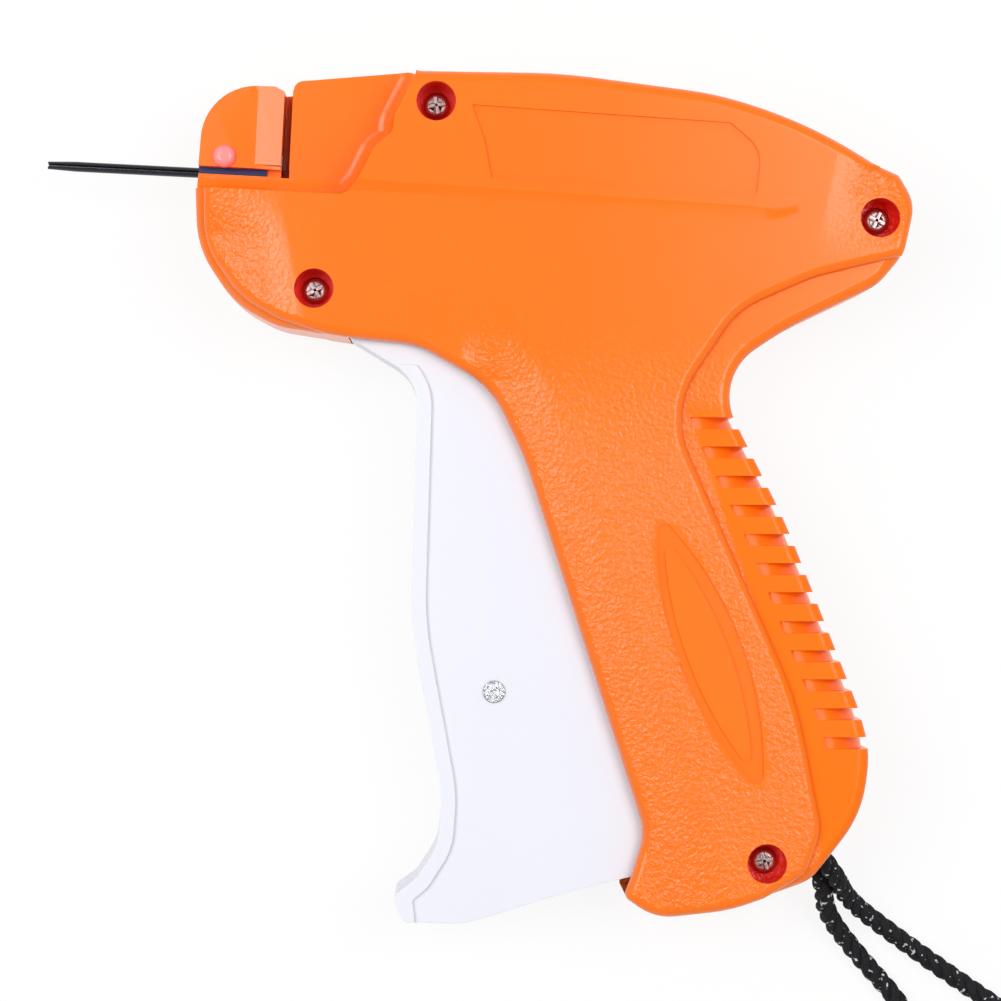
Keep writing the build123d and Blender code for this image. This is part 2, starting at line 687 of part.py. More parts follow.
with BuildPart() as trigger_rivet:
    with BuildSketch(Plane.XY.offset(mid_z - trigger_width / 2)):
        with Locations((rivet_x, rivet_y)):
            Circle(rivet_radius)
    extrude(amount=trigger_width)
    with BuildSketch(Plane.XY.offset(mid_z + trigger_width / 2)):
        with Locations((rivet_x, rivet_y)):
            Circle(rivet_head_radius)
    extrude(amount=rivet_head_height)
    with BuildSketch(Plane.XY.offset(mid_z - trigger_width / 2)):
        with Locations((rivet_x, rivet_y)):
            Circle(rivet_head_radius)
    extrude(amount=-rivet_head_height)
    fillet(trigger_rivet.edges().sort_by(Axis.Z)[-1], radius=0.2)
trigger_rivet.part.label = "trigger_rivet"
export_step(trigger_rivet.part, "parts/trigger_rivet.step")

pin_reach = cavity_depth + 1.2
export_step(
    pin("trigger_pivot_pin", 0, 0, mid_z - pin_reach, mid_z + pin_reach, trigger_pin_radius),
    "parts/trigger_pivot_pin.step",
)
export_step(
    pin("lever_pivot_pin", lever_x, lever_y, mid_z - pin_reach, mid_z + pin_reach, lever_pin_radius),
    "parts/lever_pivot_pin.step",
)

# ---------------------------------------------------------------- link
link_low = lever_thickness / 2 + link_gap
link_length = math.hypot(lever_foot_x - rivet_x, lever_foot_y - rivet_y)
link_turn = math.degrees(math.atan2(lever_foot_y - rivet_y, lever_foot_x - rivet_x))
with BuildPart() as link_plates:
    for height in (mid_z + link_low, mid_z - link_low - link_thickness):
        with BuildSketch(Plane.XY.offset(height)):
            with Locations(((rivet_x + lever_foot_x) / 2, (rivet_y + lever_foot_y) / 2)):
                with Locations(Rotation(0, 0, link_turn)):
                    SlotCenterToCenter(link_length, link_width)
            with Locations((rivet_x, rivet_y)):
                Circle(rivet_radius + running_gap, mode=Mode.SUBTRACT)
            with Locations((lever_foot_x, lever_foot_y)):
                Circle(link_pin_radius + link_pin_play, mode=Mode.SUBTRACT)
        extrude(amount=link_thickness)
link_plates.part.label = "link_plates"
export_step(link_plates.part, "parts/link_plates.step")

link_pin_reach = link_low + link_thickness + 0.4
export_step(
    pin("link_pin", lever_foot_x, lever_foot_y, mid_z - link_pin_reach, mid_z + link_pin_reach, link_pin_radius),
    "parts/link_pin.step",
)

# ---------------------------------------------------------------- drive lever
# the slot follows the slider's pin, seen from the lever, over the whole stroke
lever_rise = barrel_y - lever_y
lever_start = math.atan2(slider_rest_x - lever_x, lever_rise)
lever_end = math.atan2(slider_rest_x - slider_stroke - lever_x, lever_rise)
lever_swing = math.degrees(lever_start - lever_end)
pin_track = []
for step in range(9):
    share = step / 8
    turned = (lever_start - lever_end) * share
    ahead = slider_rest_x - slider_stroke * share - lever_x
    track_x = lever_x + ahead * math.cos(turned) + lever_rise * math.sin(turned)
    track_y = lever_y - ahead * math.sin(turned) + lever_rise * math.cos(turned)
    pin_track.append((track_x, track_y))


def track_face(radius):
    """The outline of a disc that follows the slider's pin."""
    with BuildSketch() as drawing:
        with Locations(*pin_track):
            Circle(radius)
        make_hull()
    return drawing.sketch


with BuildPart() as drive_lever:
    with BuildSketch(Plane.XY.offset(mid_z - lever_thickness / 2)):
        add(bar_face([(lever_x, lever_y, 0)] + lever_bend + [pin_track[0] + (0,)], lever_width))
        add(track_face(slider_pin_radius + lever_eye_wall))
        with Locations((lever_foot_x, lever_foot_y)):
            Circle(link_pin_radius + 2.0)
        with Locations(((lever_x + lever_foot_x) / 2, (lever_y + lever_foot_y) / 2)):
            foot_turn = math.degrees(math.atan2(lever_y - lever_foot_y, lever_x - lever_foot_x))
            with Locations(Rotation(0, 0, foot_turn)):
                Rectangle(math.hypot(lever_x - lever_foot_x, lever_y - lever_foot_y), lever_width - 0.6)
    extrude(amount=lever_thickness)
    with BuildSketch(Plane.XY.offset(mid_z - lever_hub_width / 2)):
        with Locations((lever_x, lever_y)):
            Circle(lever_hub_radius)
    extrude(amount=lever_hub_width)
    with BuildSketch(Plane.XY):
        with Locations((lever_x, lever_y)):
            Circle(lever_pin_radius + running_gap)
        with Locations((lever_foot_x, lever_foot_y)):
            Circle(link_pin_radius + seat_gap)
        add(track_face(slider_pin_radius + 0.12))
    extrude(amount=30.0, mode=Mode.SUBTRACT)
drive_lever.part.label = "drive_lever"
export_step(drive_lever.part, "parts/drive_lever.step")

# ---------------------------------------------------------------- slider and plunger
slider_front_x = slider_rest_x - slider_nose
with BuildPart() as slider:
    with BuildSketch(barrel_plane(slider_front_x)):
        Rectangle(slider_height, slider_width)
    extrude(amount=slider_length)
    chamfer(slider.edges().filter_by(Axis.X), length=0.6)
    with BuildSketch(Plane.XY.offset(mid_z - lever_thickness / 2 - moving_gap)):
        with Locations((slider_rest_x + 10.0 - 5.2, barrel_y)):
            Rectangle(20.0, 40.0)
        add(outline_face(lever_way))
    extrude(amount=lever_thickness + 2 * moving_gap, mode=Mode.SUBTRACT)
    with BuildSketch(Plane.XY):
        with Locations((slider_rest_x, barrel_y)):
            Circle(slider_pin_radius + seat_gap)
    extrude(amount=30.0, mode=Mode.SUBTRACT)
    with BuildSketch(barrel_plane(slider_front_x - 1.0)):
        Circle(rod_rear_radius + seat_gap)
    extrude(amount=rod_seat + 1.0, mode=Mode.SUBTRACT)
slider.part.label = "slider"
export_step(slider.part, "parts/slider.step")
export_step(
    pin("slider_pin", slider_rest_x, barrel_y, mid_z - slider_width / 2, mid_z + slider_width / 2, slider_pin_radius),
    "parts/slider_pin.step",
)

with BuildPart() as plunger_rod:
    with BuildSketch(barrel_plane(rod_tip_x)):
        Circle(rod_radius)
    extrude(amount=rod_thin_length)
    with BuildSketch(barrel_plane(rod_tip_x + rod_thin_length)):
        Circle(rod_rear_radius)
    extrude(amount=slider_front_x + rod_seat - rod_tip_x - rod_thin_length)
plunger_rod.part.label = "plunger_rod"
export_step(plunger_rod.part, "parts/plunger_rod.step")

with BuildPart() as rod_guide:
    with BuildSketch(barrel_plane(guide_x - guide_length / 2)):
        Rectangle(guide_height, guide_height)
        Circle(rod_rear_radius + 0.1, mode=Mode.SUBTRACT)
    extrude(amount=guide_length)
rod_guide.part.label = "rod_guide"
export_step(rod_guide.part, "parts/rod_guide.step")

spring_start = guide_x + guide_length / 2 + spring_wire_radius + 0.05
spring_room = slider_front_x - spring_start - spring_wire_radius - 0.05
with BuildPart() as return_spring:
    with BuildLine() as coil:
        Helix(
            pitch=spring_room / spring_turns,
            height=spring_room,
            radius=spring_radius,
            center=(spring_start, barrel_y, mid_z),
            direction=(1, 0, 0),
        )
    with BuildSketch(Plane(origin=coil.line @ 0, z_dir=coil.line % 0)):
        Circle(spring_wire_radius)
    sweep(path=coil.line, is_frenet=True)
return_spring.part.label = "return_spring"
export_step(return_spring.part, "parts/return_spring.step")

# ---------------------------------------------------------------- needle and hub
with BuildPart() as needle:
    with BuildSketch(Plane(origin=(0, barrel_y, mid_z), x_dir=(1, 0, 0), z_dir=(0, -1, 0))):
        with BuildLine():
            Polyline(
                (needle_tip_x, 0),
                (needle_tip_x, needle_tip_radius),
                (needle_tip_x + needle_taper, needle_radius),
                (needle_rear_x, needle_radius),
                (needle_rear_x, 0),
                close=True,
            )
        make_face()
    revolve(axis=Axis((0, barrel_y, mid_z), (1, 0, 0)))
    with BuildSketch(barrel_plane(needle_tip_x - 1.0)):
        Circle(needle_bore_radius)
    extrude(amount=60.0, mode=Mode.SUBTRACT)
    with BuildSketch(Plane.XY.offset(mid_z)):
        with Locations(((needle_tip_x - 1.0 + hub_front_x + 1.0) / 2, barrel_y)):
            Rectangle(hub_front_x - needle_tip_x + 2.0, needle_slot_width)
    extrude(amount=2.0, mode=Mode.SUBTRACT)
needle.part.label = "needle"
export_step(needle.part, "parts/needle.step")

with BuildPart() as needle_hub:
    with BuildSketch(barrel_plane(hub_front_x)):
        Rectangle(hub_height, hub_depth)
    extrude(amount=hub_length)
    chamfer(needle_hub.edges().filter_by(Axis.X), length=hub_edge)
    with BuildSketch(barrel_plane(hub_front_x - 1.0)):
        Circle(needle_radius + seat_gap)
    extrude(amount=hub_length + 2.0, mode=Mode.SUBTRACT)
    with BuildSketch(Plane.XY):
        with Locations((lock_x, lock_y)):
            Circle(lock_shaft_radius + moving_gap)
    extrude(amount=30.0, mode=Mode.SUBTRACT)
needle_hub.part.label = "needle_hub"
export_step(needle_hub.part, "parts/needle_hub.step")

# ---------------------------------------------------------------- needle lock
with BuildPart() as needle_lock_shaft:
    with BuildSketch(Plane.XY.offset(lock_shaft_low)):
        with Locations((lock_x, lock_y)):
            Circle(lock_shaft_radius)
    extrude(amount=nose_level + 0.1 - lock_shaft_low)
    with BuildSketch(Plane.XY.offset(nose_level + 0.1)):
        with Locations((lock_x, lock_y)):
            Circle(lock_head_radius)
    extrude(amount=lock_head_height)
    fillet(needle_lock_shaft.edges().sort_by(Axis.Z)[-1], radius=lock_head_height - 0.1)
needle_lock_shaft.part.label = "needle_lock_shaft"
export_step(needle_lock_shaft.part, "parts/needle_lock_shaft.step")

with BuildPart() as needle_lock_lever:
    with BuildSketch(Plane.XY.offset(lock_lever_low)):
        with Locations((lock_x + (lock_lever_length - lock_lever_width / 2) / 2, lock_y)):
            SlotCenterToCenter(lock_lever_length - lock_lever_width / 2, lock_lever_width)
    extrude(amount=lock_lever_thickness)
    with BuildSketch(Plane.XY.offset(lock_shaft_low)):
        with Locations((lock_x, lock_y)):
            Circle(lock_shaft_radius + seat_gap)
    extrude(amount=10.0, mode=Mode.SUBTRACT)
needle_lock_lever.part.label = "needle_lock_lever"
export_step(needle_lock_lever.part, "parts/needle_lock_lever.step")

# ---------------------------------------------------------------- fastener feed
with BuildSketch() as tooth:
    with BuildLine():
        Polyline(
            (feed_root_radius - 0.3, -0.62),
            (feed_tip_radius, -0.25),
            (feed_tip_radius, 0.25),
            (feed_root_radius - 0.3, 0.62),
            close=True,
        )
    make_face()

with BuildPart() as feed_wheel:
    with BuildSketch(Plane.XY.offset(mid_z - feed_width / 2)):
        with Locations((feed_x, feed_y)):
            Circle(feed_root_radius)
            with PolarLocations(0, feed_teeth, start_angle=tooth_angle):
                add(tooth.sketch)
            Circle(feed_shaft_radius + running_gap, mode=Mode.SUBTRACT)
    extrude(amount=feed_width)
feed_wheel.part.label = "feed_wheel"
export_step(feed_wheel.part, "parts/feed_wheel.step")
export_step(
    pin("feed_shaft", feed_x, feed_y, mid_z - feed_shaft_reach, mid_z + feed_shaft_reach, feed_shaft_radius),
    "parts/feed_shaft.step",
)

rocker_top = mid_z - feed_width / 2 - moving_gap
arm_x = rocker_arm * math.cos(math.radians(rocker_angle))
arm_y = rocker_arm * math.sin(math.radians(rocker_angle))
with BuildPart() as feed_rocker:
    with BuildSketch(Plane.XY.offset(rocker_top - rocker_thickness)):
        with Locations((feed_x, feed_y)):
            Circle(rocker_hub_radius)
            with Locations((arm_x, arm_y)):
                Circle(rocker_pin_radius + 0.6)
        make_hull()
        with Locations((feed_x, feed_y)):
            Circle(feed_shaft_radius + running_gap, mode=Mode.SUBTRACT)
            with Locations((arm_x, arm_y)):
                Circle(rocker_pin_radius + seat_gap, mode=Mode.SUBTRACT)
    extrude(amount=rocker_thickness)
feed_rocker.part.label = "feed_rocker"
export_step(feed_rocker.part, "parts/feed_rocker.step")
export_step(
    pin("rocker_pin", feed_x + arm_x, feed_y + arm_y, rocker_top - rocker_thickness, rocker_top + 2.0, rocker_pin_radius),
    "parts/rocker_pin.step",
)
with BuildSketch() as pawl_finger:
    with BuildLine():
        Polyline(
            (rocker_arm + 0.9, -0.4),
            (rocker_arm + 0.6, 0.6),
            (rocker_arm - 0.6, 2.4),
            (rocker_arm - 1.4, 2.9),
            (rocker_arm - 1.0, 1.6),
            (rocker_arm - 0.9, 0.4),
            close=True,
        )
    make_face()

with BuildPart() as feed_pawl:
    with BuildSketch(Plane.XY.offset(rocker_top + 0.1)):
        with Locations((feed_x, feed_y)):
            with Locations((arm_x, arm_y)):
                Circle(rocker_pin_radius + 0.5)
        with Locations((feed_x, feed_y)):
            with Locations(Rotation(0, 0, rocker_angle)):
                add(pawl_finger.sketch)
        with Locations((feed_x + arm_x, feed_y + arm_y)):
            Circle(rocker_pin_radius + seat_gap, mode=Mode.SUBTRACT)
        with Locations((feed_x, feed_y)):
            Circle(feed_tip_radius + 0.15, mode=Mode.SUBTRACT)
    extrude(amount=1.8)
feed_pawl.part.label = "feed_pawl"
export_step(feed_pawl.part, "parts/feed_pawl.step")

with BuildPart() as click_spring:
    with BuildSketch(Plane.XY.offset(mid_z - click_reach)):
        add(bar_face(click_line, click_thickness))
    extrude(amount=2 * click_reach)
click_spring.part.label = "click_spring"
export_step(click_spring.part, "parts/click_spring.step")

with BuildPart() as cutter_blade:
    with BuildSketch(Plane.XY.offset(mid_z - blade_depth / 2)):
        with Locations((slot_x - slot_width / 2 - blade_thickness / 2 + 0.06, blade_y)):
            Rectangle(blade_thickness, blade_height)
    extrude(amount=blade_depth)
cutter_blade.part.label = "cutter_blade"
export_step(cutter_blade.part, "parts/cutter_blade.step")

# ---------------------------------------------------------------- wrist strap
corner_radii = []
for before, here, after in zip(strap_route, strap_route[1:], strap_route[2:]):
    arriving = Vector(*here) - Vector(*before)
    leaving = Vector(*after) - Vector(*here)
    half_turn = math.radians(arriving.get_angle(leaving)) / 2
    corner_radii.append(0.45 * min(arriving.length, leaving.length) / math.tan(half_turn))

with BuildPart() as wrist_strap:
    with BuildLine() as strap_line:
        FilletPolyline(*strap_route, radius=corner_radii)
    with BuildSketch(Plane(origin=strap_line.line @ 0, z_dir=strap_line.line % 0)):
        Circle(strap_radius)
    sweep(path=strap_line.line)
wrist_strap.part.label = "wrist_strap"
export_step(wrist_strap.part, "parts/wrist_strap.step")
strap_length = sum(edge.length for edge in strap_line.line.edges())

with BuildPart() as strap_anchor:
    with BuildSketch(Plane.XY.offset(mid_z - anchor_height / 2)):
        with Locations((anchor_x, anchor_y)):
            with Locations(Rotation(0, 0, anchor_angle)):
                Rectangle(anchor_length, anchor_width)
    extrude(amount=anchor_height)
    for number, strand_angle in enumerate(strand_angles):
        level = mid_z + strap_spacing * (number - 0.5)
        toward = (math.cos(math.radians(strand_angle)), math.sin(math.radians(strand_angle)), 0)
        with BuildSketch(Plane(origin=(anchor_x, anchor_y, level), z_dir=toward)):
            Circle(strap_radius + seat_gap)
        extrude(amount=10.0, both=True, mode=Mode.SUBTRACT)
strap_anchor.part.label = "strap_anchor"
export_step(strap_anchor.part, "parts/strap_anchor.step")
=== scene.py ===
import json
from math import cos, pi, radians, sin

import bmesh
import bpy
from bpy.props import FloatProperty, FloatVectorProperty, IntProperty, PointerProperty
from bpy.types import Operator, Panel, PropertyGroup
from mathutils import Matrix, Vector


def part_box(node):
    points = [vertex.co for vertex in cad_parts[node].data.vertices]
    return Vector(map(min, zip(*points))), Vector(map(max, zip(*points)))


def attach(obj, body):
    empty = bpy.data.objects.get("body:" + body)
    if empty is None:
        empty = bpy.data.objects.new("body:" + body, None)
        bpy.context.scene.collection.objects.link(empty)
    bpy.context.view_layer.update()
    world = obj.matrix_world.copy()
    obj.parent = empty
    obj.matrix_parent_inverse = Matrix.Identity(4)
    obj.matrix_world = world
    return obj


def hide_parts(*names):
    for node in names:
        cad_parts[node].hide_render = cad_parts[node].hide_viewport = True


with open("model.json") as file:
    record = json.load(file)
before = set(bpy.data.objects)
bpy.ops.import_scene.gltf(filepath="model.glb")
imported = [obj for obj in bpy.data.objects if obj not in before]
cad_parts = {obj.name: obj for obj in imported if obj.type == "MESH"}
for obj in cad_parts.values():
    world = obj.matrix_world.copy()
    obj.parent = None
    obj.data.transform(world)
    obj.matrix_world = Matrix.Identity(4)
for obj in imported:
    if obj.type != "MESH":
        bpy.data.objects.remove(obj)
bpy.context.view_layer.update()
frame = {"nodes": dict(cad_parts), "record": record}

bl_info = {
    "name": "Garment Tag Attacher",
    "version": (1, 0, 0),
    "blender": (4, 5, 0),
    "location": "View3D > Sidebar > Tag Attacher",
    "description": "Dresses the packed tag attacher and lights it on a pale table",
    "category": "Object",
}

NODES = frame["nodes"]
MM = 0.001
SCREW_PLACES = ((4.1, 24.9), (-14.7, -7.2), (79.0, 9.3), (65.6, -99.2))
SCREW_TURNS = (12.0, 31.0, 67.0, 20.0)
WELL_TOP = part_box("left_housing")[1][2] - 0.0012


def mm(*sizes):
    """Millimetres to metres."""
    return tuple(size * MM for size in sizes) if len(sizes) > 1 else sizes[0] * MM


# ---------------------------------------------------------------- settings


class ShellSettings(PropertyGroup):
    """Sizes and colours of the orange shell."""

    colour: FloatVectorProperty(
        name="Shell colour", description="Colour of the moulded shell", subtype="COLOR",
        size=4, min=0, max=1, default=(1.0, 0.185, 0.003, 1.0))
    grain_size: FloatProperty(
        name="Grain size", description="Width of one grain of the moulded texture",
        default=mm(0.75), unit="LENGTH", precision=5)
    grain_depth: FloatProperty(
        name="Grain depth", description="Height of the moulded texture",
        default=mm(0.34), unit="LENGTH", precision=6)
    grain_strength: FloatProperty(
        name="Grain strength", description="How much of the grain's height shows on the flat sides",
        default=0.75, min=0.0, max=1.0)
    roughness: FloatProperty(
        name="Roughness", description="Roughness of the plastic between the grains",
        default=0.23, min=0.05, max=1.0)
    crown: FloatProperty(
        name="Crown", description="How fast the flat sides fall off to their edges, per millimetre",
        default=0.055, min=0.0, max=0.2, precision=4)
    # Painted shade: the deeper red that light bouncing inside the screw wells gives, painted into the base colour
    painted_well_shade_colour: FloatVectorProperty(
        name="Painted well shade", description="Painted shade: the deeper red of light bounced inside the screw wells", subtype="COLOR",
        size=4, min=0, max=1, default=(1.0, 0.02, 0.005, 1.0))
    edge_width: FloatProperty(
        name="Edge width", description="Rounding of the small edges",
        default=mm(0.3), unit="LENGTH", precision=5)


class TriggerSettings(PropertyGroup):
    """Sizes and colours of the trigger."""

    colour: FloatVectorProperty(
        name="Trigger colour", description="Colour of the trigger's plastic", subtype="COLOR",
        size=4, min=0, max=1, default=(0.80, 0.81, 0.88, 1.0))
    edge_width: FloatProperty(
        name="Edge width", description="Rounding of the trigger's edges",
        default=mm(0.7), unit="LENGTH", precision=5)


class ScrewSettings(PropertyGroup):
    """Sizes of the cross-head screws."""

    head_radius: FloatProperty(
        name="Head radius", description="Radius of the pan head",
        default=mm(2.25), unit="LENGTH", precision=5)
    head_height: FloatProperty(
        name="Head height", description="Height of the pan head",
        default=mm(1.75), unit="LENGTH", precision=5)
    shank_radius: FloatProperty(
        name="Shank radius", description="Radius of the shank",
        default=mm(1.3), unit="LENGTH", precision=5)
    shank_length: FloatProperty(
        name="Shank length", description="Length below the head",
        default=mm(12.0), unit="LENGTH", precision=5)
    cross_length: FloatProperty(
        name="Cross length", description="Length across the cross recess",
        default=mm(3.1), unit="LENGTH", precision=5)
    cross_width: FloatProperty(
        name="Cross width", description="Width of one wing of the recess",
        default=mm(0.85), unit="LENGTH", precision=5)


class StrapSettings(PropertyGroup):
    """Sizes and colours of the wrist strap."""

    colour: FloatVectorProperty(
        name="Strap colour", description="Colour of the nylon yarn", subtype="COLOR",
        size=4, min=0, max=1, default=(0.012, 0.012, 0.014, 1.0))
    diameter: FloatProperty(
        name="Strap diameter", description="Thickness of the braided cord",
        default=mm(3.4), unit="LENGTH", precision=5)
    strand_radius: FloatProperty(
        name="Strand radius", description="Radius of one strand",
        default=mm(0.92), unit="LENGTH", precision=5)
    pitch: FloatProperty(
        name="Pitch", description="Length of one turn of the strands",
        default=mm(8.0), unit="LENGTH", precision=5)


# ---------------------------------------------------------------- small tools


def leave_edit_mode():
    if bpy.context.object and bpy.context.object.mode != "OBJECT":
        bpy.ops.object.mode_set(mode="OBJECT")


def choose(piece):
    """Makes one object the only one that operators act on."""
    leave_edit_mode()
    bpy.ops.object.select_all(action="DESELECT")
    piece.select_set(True)
    bpy.context.view_layer.objects.active = piece


def select_faces(piece, test):
    """In edit mode, selects the faces that pass a test of place or normal."""
    mesh = bmesh.from_edit_mesh(piece.data)
    for face in mesh.faces:
        if test(face):
            face.select = True
    mesh.select_flush(True)
    bmesh.update_edit_mesh(piece.data)


def in_place(piece):
    """Moves an object's place into its mesh."""
    choose(piece)
    bpy.ops.object.transform_apply(location=True, rotation=True, scale=True)


def added(name):
    """Names the primitive that was just added."""
    piece = bpy.context.object
    piece.name = name
    piece.data.name = name
    return piece


def apply_modifiers(piece):
    choose(piece)
    for modifier in list(piece.modifiers):
        bpy.ops.object.modifier_apply(modifier=modifier.name)


def rounded_edges(piece, width, segments=2, angle=30.0):
    """Rounds every edge that turns by more than the angle."""
    bevel = piece.modifiers.new("Rounded edges", "BEVEL")
    bevel.width = width
    bevel.segments = segments
    bevel.limit_method = "ANGLE"
    bevel.angle_limit = radians(angle)
    bevel.miter_outer = "MITER_ARC"
    bevel.use_clamp_overlap = True
    apply_modifiers(piece)


def smooth_shaded(piece, angle=30.0):
    """Smooth shading that leaves the flat faces looking flat."""
    choose(piece)
    bpy.ops.object.shade_smooth_by_angle(angle=radians(angle))
    even = piece.modifiers.new("Flat faces stay flat", "WEIGHTED_NORMAL")
    even.mode = "FACE_AREA"
    even.weight = 50
    even.keep_sharp = True
    apply_modifiers(piece)


def moulding(node, name, edge_width, angle=28.0):
    """A joined, smooth-shaded copy of a solid, which takes its place."""
    source = NODES[node]
    piece = source.copy()
    piece.data = source.data.copy()
    bpy.context.collection.objects.link(piece)
    piece.name = name
    piece.data.name = name
    choose(piece)
    bpy.ops.object.mode_set(mode="EDIT")
    bpy.ops.mesh.select_all(action="SELECT")
    bpy.ops.mesh.remove_doubles(threshold=mm(0.002))
    bpy.ops.mesh.dissolve_limited(angle_limit=radians(0.4))
    bpy.ops.object.mode_set(mode="OBJECT")
    if edge_width:
        rounded_edges(piece, edge_width, angle=angle)
    smooth_shaded(piece, angle)
    body = next(body for body, nodes in frame["record"]["behaviour"]["bodies"].items() if node in nodes)
    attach(piece, body)
    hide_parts(node)
    return piece


def finish_with(piece, material):
    piece.data.materials.clear()
    piece.data.materials.append(material)


# ---------------------------------------------------------------- materials


def new_material(name):
    material = bpy.data.materials.new(name)
    material.use_nodes = True
    nodes = material.node_tree.nodes
    return material, nodes, material.node_tree.links, nodes["Principled BSDF"]


def node_of(nodes, kind, **settings):
    node = nodes.new(kind)
    for key, value in settings.items():
        if hasattr(node, key):
            setattr(node, key, value)
        else:
            node.inputs[key.replace("_", " ")].default_value = value
    return node


def maths(nodes, links, operation, first, second=None, clamp=False):
    """A Math node fed by sockets or plain numbers."""
    step = nodes.new("ShaderNodeMath")
    step.operation = operation
    step.use_clamp = clamp
    for socket, value in zip(step.inputs, (first, second)):
        if value is None:
            continue
        if isinstance(value, (int, float)):
            socket.default_value = value
        else:
            links.new(value, socket)
    return step.outputs[0]


def beyond_line(nodes, links, place, point, toward):
    """Millimetres past a line, measured the way that toward points."""
    length = (toward[0] ** 2 + toward[1] ** 2) ** 0.5
    along = (toward[0] / length, toward[1] / length)
    reach = nodes.new("ShaderNodeVectorMath")
    reach.operation = "DOT_PRODUCT"
    links.new(place, reach.inputs[0])
    reach.inputs[1].default_value = (along[0] * 1000, along[1] * 1000, 0)
    start = point[0] * along[0] + point[1] * along[1]
    return maths(nodes, links, "SUBTRACT", reach.outputs["Value"], start)


